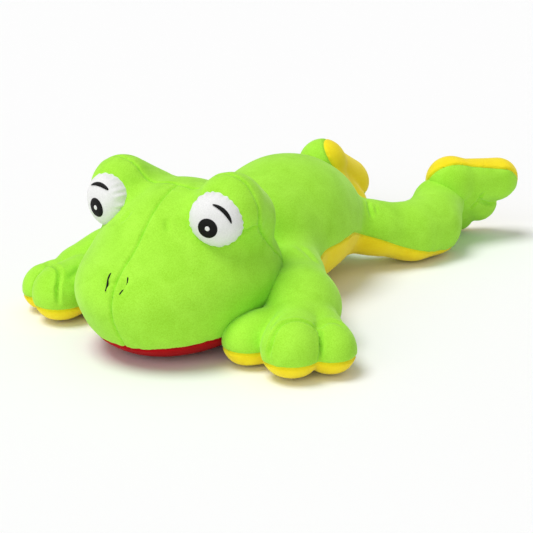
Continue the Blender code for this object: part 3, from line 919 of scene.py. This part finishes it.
def grid_object(name, rows):
    """An object from rows of points; each row runs round, and a row of one point closes an end."""
    points = np.concatenate([np.atleast_2d(row) for row in rows])
    starts = np.cumsum([0] + [len(np.atleast_2d(row)) for row in rows])
    faces = []
    for n, (a, b) in enumerate(zip(rows[:-1], rows[1:])):
        a, b = np.atleast_2d(a), np.atleast_2d(b)
        count = max(len(a), len(b))
        for i in range(count):
            j = (i + 1) % count
            first = [starts[n] + i, starts[n] + j] if len(a) > 1 else [starts[n]]
            second = [starts[n + 1] + j, starts[n + 1] + i] if len(b) > 1 else [starts[n + 1]]
            faces.append([int(v) for v in first + second])
    obj = panel_object(name, points, faces)
    bm = bmesh.new()
    bm.from_mesh(obj.data)
    bmesh.ops.recalc_face_normals(bm, faces=bm.faces)
    bm.to_mesh(obj.data)
    bm.free()
    obj.data.shade_smooth()
    return obj


def closed_ends(rows):
    """Rows with a middle point before the first and after the last."""
    return [rows[0].mean(0, keepdims=True)] + rows + [rows[-1].mean(0, keepdims=True)]


def ring_noise(ring, side, scale, shift, seed):
    """Noise round a ring, different on each side."""
    return lattice_noise(ring * scale + side * shift, seed)


def eye_ball(side):
    """White velour disc drawn in round its rim, with gathers of uneven depth."""
    angles = np.linspace(0, 2 * math.pi, EYE_SEGMENTS, endpoint=False)
    ring = np.stack([np.cos(angles), np.zeros(len(angles)), np.sin(angles)], -1)
    strength = EYE_GATHER_MEAN + EYE_GATHER_CHANGE * ring_noise(ring, side, **EYE_STRENGTH_NOISE)
    drift = EYE_GATHER_DRIFT * ring_noise(ring, side, **EYE_DRIFT_NOISE)
    wave = np.cos(angles * EYE_GATHERS + drift)
    rows = [np.array([[0, EYE_DEPTH, 0]])]
    for tilt in EYE_TILTS:
        angle = math.radians(tilt)
        out = math.cos(angle)
        wide = math.sin(angle)
        out = math.copysign(abs(out) ** (2 / EYE_FULLNESS), out)
        wide = wide ** (2 / EYE_FULLNESS)
        fade = math.exp(-(((tilt - EYE_GATHER_TILT) / EYE_GATHER_SPREAD) ** 2))
        fold = EYE_GATHER_DEPTH * fade * strength * wave
        radius = EYE_RADIUS * wide + fold
        height = EYE_DEPTH * out + fold * EYE_GATHER_SINK
        rows.append(np.stack([radius * np.cos(angles), height, radius * np.sin(angles)], -1))
    rows.append(np.array([[0, -EYE_DEPTH, 0]]))
    return grid_object(f"eye_{SIDE_NAMES[side]}_velour", [eye_world(row, side) for row in rows])


def disc_patch(name, side, centre, radius, hole=0):
    """A stitched disc or ring lying on the eye, with a rounded edge."""
    angles = np.linspace(0, 2 * math.pi, PATCH_SEGMENTS, endpoint=False)
    width = radius - hole
    profile = [(radius - share * width, lift * PATCH_THICKNESS) for share, lift in PATCH_EDGE]
    if hole:
        profile += [(hole, lift * PATCH_THICKNESS) for _, lift in PATCH_EDGE[1::-1]]
    rows = []
    for r, lift in profile:
        x = centre[0] + r * np.cos(angles)
        z = centre[1] + r * np.sin(angles)
        rows.append(eye_world(np.stack([x, dome(x, z, lift), z], -1), side))
    if hole:
        return grid_object(name, rows + rows[:1])
    spot = np.array([[centre[0], dome(*centre, PATCH_CROWN * PATCH_THICKNESS), centre[1]]])
    under = np.array([[centre[0], dome(*centre, PATCH_ROOT * PATCH_THICKNESS), centre[1]]])
    return grid_object(name, [eye_world(under, side)] + rows + [eye_world(spot, side)])


def lash(side, centre):
    """A crescent of black satin stitch on the eye."""
    start, end = LASH_ANGLES[side]
    rows = []
    for share in np.linspace(0, 1, LASH_ROWS):
        angle = math.radians(start + (end - start) * share)
        swell = (1 - LASH_END_SHARE) * math.sin(math.pi * share) ** LASH_TAPER
        half = LASH_WIDTH / 2 * (LASH_END_SHARE + swell)
        row = []
        for across, lift in LASH_EDGE:
            r = LASH_RADIUS + across * half
            x = centre[0] + r * math.cos(angle)
            z = centre[1] + r * math.sin(angle)
            row.append((x, float(dome(np.array(x), np.array(z), lift * LASH_THICKNESS)), z))
        rows.append(np.array(row))
    return grid_object(f"lash_{SIDE_NAMES[side]}_stitch", [eye_world(row, side) for row in closed_ends(rows)])


def nostril_line(side):
    """Places along a nostril's stitch, on the head's form."""
    line = np.array(NOSTRIL_LINE) * (side, 1, 1) + (MIDDLE_SEAM_X, 0, 0)
    return settle(head_field, smooth_line(line))


def nostril(side, dents, seed):
    """A line of black stitches pressed into the face, deepest in its middle."""
    line = nostril_line(side)
    way = np.gradient(line, axis=0)
    way /= np.linalg.norm(way, axis=-1, keepdims=True)
    out = slope(head_field, line)
    out /= np.linalg.norm(out, axis=-1, keepdims=True)
    across = np.cross(way, out)
    along = np.linspace(0, 1, len(line))
    drawn = np.polyval(np.polyfit(along, drawn_in(line, seed, dents), NOSTRIL_EVENING), along)
    sunk = NOSTRIL_SINKS[side] * np.sin(along * math.pi)
    place = line - out * (drawn + sunk - NOSTRIL_PROUD)[:, None]
    angles = np.linspace(0, 2 * math.pi, NOSTRIL_SEGMENTS, endpoint=False)[:, None]
    rows = []
    for i, share in enumerate(along):
        swell = (1 - NOSTRIL_END_SHARE) * math.sin(math.pi * share) ** NOSTRIL_TAPER
        radius = NOSTRIL_RADIUS * (NOSTRIL_END_SHARE + swell)
        rows.append(place[i] + radius * (np.cos(angles) * across[i] + np.sin(angles) * out[i] * NOSTRIL_FLAT))
    return grid_object(f"nostril_{SIDE_NAMES[side]}_stitch", closed_ends(rows))


# Materials


def new_material(name):
    made = bpy.data.materials.new(name)
    made.use_nodes = True
    tree = made.node_tree
    return made, tree, tree.nodes["Principled BSDF"]


def put(node, values):
    for name, value in values.items():
        node.inputs[name].default_value = value


def noise_texture(tree, place, values):
    """A noise over a place; returns its value."""
    texture = tree.nodes.new("ShaderNodeTexNoise")
    put(texture, values)
    tree.links.new(place, texture.inputs["Vector"])
    return texture.outputs["Fac"]


def two_tones(tree, shader, amount, places, tones):
    """Base colour that runs from one tone to another as an amount passes two places."""
    ramp = tree.nodes.new("ShaderNodeValToRGB")
    for element, place, tone in zip(ramp.color_ramp.elements, places, tones):
        element.position = place
        element.color = (*tone, 1)
    tree.links.new(amount, ramp.inputs["Fac"])
    tree.links.new(ramp.outputs["Color"], shader.inputs["Base Color"])


def roughen(tree, shader, height, values):
    bump = tree.nodes.new("ShaderNodeBump")
    put(bump, values)
    tree.links.new(height, bump.inputs["Height"])
    tree.links.new(bump.outputs["Normal"], shader.inputs["Normal"])


def velour(name, colour, deep, sheen_tint, sheen):
    """Short-pile knit: patchy pile lay, a fine grain of fibre tips, and a soft sheen."""
    made, tree, shader = new_material(name)
    place = tree.nodes.new("ShaderNodeTexCoord").outputs["Object"]
    patches = noise_texture(tree, place, PILE_PATCHES)
    tips = noise_texture(tree, place, PILE_TIPS)
    blend = tree.nodes.new("ShaderNodeMix")
    blend.data_type = "FLOAT"
    blend.inputs["Factor"].default_value = TIPS_SHARE
    tree.links.new(patches, blend.inputs["A"])
    tree.links.new(tips, blend.inputs["B"])
    two_tones(tree, shader, blend.outputs["Result"], PILE_RANGE, (deep, colour))
    put(shader, {**VELOUR_INPUTS, "Sheen Weight": sheen, "Sheen Tint": (*sheen_tint, 1)})
    roughen(tree, shader, tips, PILE_BUMP)
    return made


def thread(name):
    """Satin stitch: fine streaks of thread with a faint gloss."""
    made, tree, shader = new_material(name)
    place = tree.nodes.new("ShaderNodeTexCoord").outputs["Object"]
    scaled = tree.nodes.new("ShaderNodeMapping")
    scaled.inputs["Scale"].default_value = STRAND_SCALE
    tree.links.new(place, scaled.inputs["Vector"])
    strands = noise_texture(tree, scaled.outputs["Vector"], STRANDS)
    two_tones(tree, shader, strands, STRAND_RANGE, (BLACK_DEEP, BLACK))
    put(shader, THREAD_INPUTS)
    roughen(tree, shader, strands, STRAND_BUMP)
    return made


def dress(obj, finish):
    obj.data.materials.clear()
    obj.data.materials.append(finish)


# Stage


def build_stage():
    mesh = bpy.data.meshes.new("floor")
    corners = [(x * FLOOR_SPAN, y * FLOOR_SPAN, 0) for x, y in ((-1, -1), (1, -1), (1, 1), (-1, 1))]
    mesh.from_pydata(corners, [], [(0, 1, 2, 3)])
    floor = bpy.data.objects.new("floor", mesh)
    bpy.context.scene.collection.objects.link(floor)
    made, _, shader = new_material("floor")
    shader.inputs["Base Color"].default_value = (FLOOR_TONE, FLOOR_TONE, FLOOR_TONE, 1)
    shader.inputs["Roughness"].default_value = 1
    shader.inputs["Specular IOR Level"].default_value = 0
    mesh.materials.append(made)

    bpy.context.scene.view_settings.view_transform = "Standard"
    world = bpy.data.worlds.new("studio")
    world.use_nodes = True
    bpy.context.scene.world = world
    tree = world.node_tree
    sky = tree.nodes["Background"]
    sky.inputs["Color"].default_value = (1, 1, 1, 1)
    rays = tree.nodes.new("ShaderNodeLightPath")
    shown = rays.outputs["Is Camera Ray"]
    for kind in ("Is Glossy Ray", "Is Transmission Ray"):
        either = tree.nodes.new("ShaderNodeMath")
        either.operation = "MAXIMUM"
        tree.links.new(shown, either.inputs[0])
        tree.links.new(rays.outputs[kind], either.inputs[1])
        shown = either.outputs["Value"]
    level = tree.nodes.new("ShaderNodeMapRange")
    level.inputs["To Min"].default_value = AMBIENT
    level.inputs["To Max"].default_value = 1
    tree.links.new(shown, level.inputs["Value"])
    tree.links.new(level.outputs["Result"], sky.inputs["Strength"])


def build_camera_and_lamps():
    a, e = math.radians(CAMERA_AZIMUTH), math.radians(CAMERA_ELEVATION)
    back = Vector((math.sin(a) * math.cos(e), -math.cos(a) * math.cos(e), math.sin(e)))
    camera = bpy.data.objects.new("camera", bpy.data.cameras.new("camera"))
    camera.data.lens = LENS
    camera.data.sensor_width = SENSOR_WIDTH
    camera.location = CAMERA_TARGET + back * CAMERA_DISTANCE
    camera.rotation_euler = back.to_track_quat("Z", "Y").to_euler()
    bpy.context.scene.collection.objects.link(camera)
    bpy.context.scene.camera = camera
    right = Vector((math.cos(a), math.sin(a), 0))
    level = Vector((back.x, back.y, 0)).normalized()
    for name, (across, ahead, up), strength, spread in LAMPS:
        way = right * across + level * ahead + Vector((0, 0, up))
        lamp = bpy.data.lights.new(name, "SUN")
        lamp.energy = strength
        lamp.angle = math.radians(spread)
        obj = bpy.data.objects.new(name, lamp)
        obj.rotation_euler = way.to_track_quat("Z", "Y").to_euler()
        bpy.context.scene.collection.objects.link(obj)


# Building


def frame_slot(name):
    """The record's material slot of a CAD node."""
    return frame["nodes"][name].material_slots[0].material.name.split(".")[0]


def cover(name, obj, finishes, body, fillings=(), bend=None):
    """A cover dressed in place of the CAD's panel and fillings, and put on its body; a cover that has a bend
    keeps its place baked into its points and is put on no body.
    """
    slot = frame_slot(name)
    dress(obj, finishes[slot])
    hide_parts(name, *fillings)
    if bend:
        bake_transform(obj)
    else:
        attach(obj, body)


def bend_line(joint, way, reach, side, right_turn):
    """Where a limb's bend starts and ends, in the world."""
    angle = math.radians(right_turn if side == RIGHT else 0)
    x, y = way[0] * side, way[1]
    c, s = math.cos(angle), math.sin(angle)
    turned = np.array((x * c - y * s, x * s + y * c, 0))
    pivot = JOINTS[joint]
    return pivot + turned * (reach[0] + BEND_CLEAR), pivot + turned * (reach[0] + reach[1])


def build_body(finishes):
    """Torso, arms and legs, which are one stuffed form."""
    dents = folded(body_field, on_left, TORSO_FOLDS)
    for side in SIDE_NAMES:
        dents += folded(body_field, lambda p, side=side: hand_local(p, side), HAND_FOLDS)
    covers = stuffed(body_field, BODY_BOX, BODY_STEP, (body_seam,), body_sorter, BODY_SEED, dents)
    bends = {}
    fillings = {"torso_back": ("torso_filling",)}
    for side, word in SIDE_NAMES.items():
        arm = bend_line(f"shoulder_{word}", ARM_WAY, ARM_BEND, side, RIGHT_ARM_TURN)
        leg = bend_line(f"hip_{word}", LEG_WAY, LEG_BEND, side, RIGHT_LEG_TURN)
        for part in ("upper", "under"):
            bends[f"arm_{word}_{part}"] = (f"arm_{word}", arm)
            bends[f"leg_{word}_{part}"] = (f"leg_{word}", leg)
        fillings[f"arm_{word}_upper"] = (f"arm_filling_{word}",)
        fillings[f"leg_{word}_upper"] = (f"leg_filling_{word}",)
    for name, obj in covers.items():
        body, bend = bends.get(name, ("torso", None))
        cover(name, obj, finishes, body, fillings.get(name, ()), bend)


def build_head(finishes):
    seams = (middle_seam, brow_seam, lip_seam, throat_seam)
    folds = [PINCH_FOLD] + [(nostril_line(side), *NOSTRIL_FOLD) for side in SIDE_NAMES]
    dents = [eye_dent] + folded(head_field, lambda p: p, folds)
    dents += folded(head_field, on_left, HEAD_FOLDS)
    covers = stuffed(head_field, HEAD_BOX, HEAD_STEP, seams, head_sorter, HEAD_SEED, dents)
    for name, obj in covers.items():
        cover(name, obj, finishes, "head", ("head_filling",) if name == "head_back" else ())
    for side in SIDE_NAMES:
        stitch = nostril(side, dents, HEAD_SEED)
        dress(stitch, finishes[THREAD])
        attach(stitch, "head")


def build_foot(side, finishes):
    covers = stuffed(
        lambda p: on_floor(p, foot_field(p, side)),
        FOOT_BOXES[side],
        FOOT_STEP,
        (foot_seam(side),),
        foot_sorter(side),
        FOOT_SEED + side,
        folded(lambda p: foot_field(p, LEFT), lambda p: foot_local(p, side), FOOT_FOLDS),
    )
    for name, obj in covers.items():
        cover(name, obj, finishes, f"foot_{SIDE_NAMES[side]}")


def build_eye(side, finishes):
    word = SIDE_NAMES[side]
    ball = eye_ball(side)
    at = (PUPIL_AT[0] * side, PUPIL_AT[1])
    pupil = disc_patch(f"pupil_{word}_stitch", side, at, PUPIL_RADIUS, GLINT_RADIUS)
    glint = disc_patch(f"glint_{word}_stitch", side, at, GLINT_RADIUS)
    brow = lash(side, at)
    for kind, obj in (("eye", ball), ("pupil", pupil), ("glint", glint), ("lash", brow)):
        name = f"{kind}_{word}"
        slot = frame_slot(name)
        dress(obj, finishes[slot])
        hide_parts(name)
        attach(obj, "head")


def build_frog():
    finishes = {name: velour(name, *row) for name, row in VELOURS.items()}
    finishes[THREAD] = thread(THREAD)
    build_body(finishes)
    build_head(finishes)
    for side in SIDE_NAMES:
        build_foot(side, finishes)
        build_eye(side, finishes)


build_frog()
build_stage()
build_camera_and_lamps()
